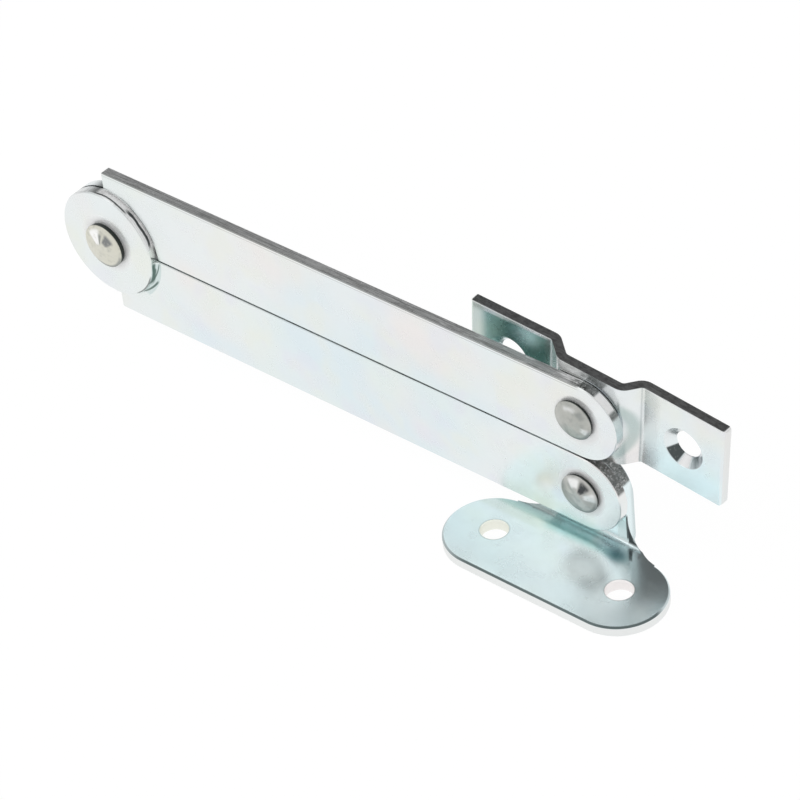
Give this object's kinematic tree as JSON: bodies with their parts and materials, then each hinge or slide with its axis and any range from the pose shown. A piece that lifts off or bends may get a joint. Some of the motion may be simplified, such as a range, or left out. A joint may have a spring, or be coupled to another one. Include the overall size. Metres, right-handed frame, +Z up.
{
  "type": "lid stay",
  "caption": "Folding lid stay: flat strip arms riveted at a half-sheared knuckle, with an upturned plate bracket at one end and a jogged, countersunk lid bracket at the other.",
  "frame": {"origin": "underside of the plate, midway between its screw holes", "axes": "+X along the folded arms from the knuckle to the brackets, +Y back through the thickness towards the ear and the lid bracket, +Z up from the plate to the lid bracket"},
  "size_m": [0.1438, 0.0237, 0.0383],
  "materials": {
    "plate_zinc": "bright zinc plated pressed steel, faint blue tint",
    "arm_zinc": "bright zinc plated strip steel, dark sheared edges",
    "lid_zinc": "bright zinc plated pressed steel, dark sheared edges",
    "rivet_steel": "satin steel, upset heads"
  },
  "bodies": {
    "plate": {"plate_bracket": "plate_zinc", "lower_rivet": "rivet_steel"},
    "lower_link": {"lower_arm": "arm_zinc", "knuckle_rivet": "rivet_steel"},
    "upper_link": {"upper_arm": "arm_zinc"},
    "lid_link": {"lid_bracket": "lid_zinc", "upper_rivet": "rivet_steel"}
  },
  "joints": [
    {"name": "lower_pivot", "type": "hinge", "parent": "plate", "child": "lower_link", "pos_m": [0, 0.0088, 0.0115], "axis": [0, 1, 0], "range_deg": [-5, 85]},
    {"name": "knuckle", "type": "hinge", "parent": "lower_link", "child": "upper_link", "pos_m": [-0.1064, 0.0088, 0.0192], "axis": [0, -1, 0], "range_deg": [0, 180]},
    {"name": "lid_pivot", "type": "hinge", "parent": "upper_link", "child": "lid_link", "pos_m": [0, 0.0098, 0.0269], "axis": [0, -1, 0], "range_deg": [-45, 0]}
  ],
  "couplings": [
    {"joint": "lid_pivot", "follows": "knuckle", "ratio": -0.25}
  ]
}
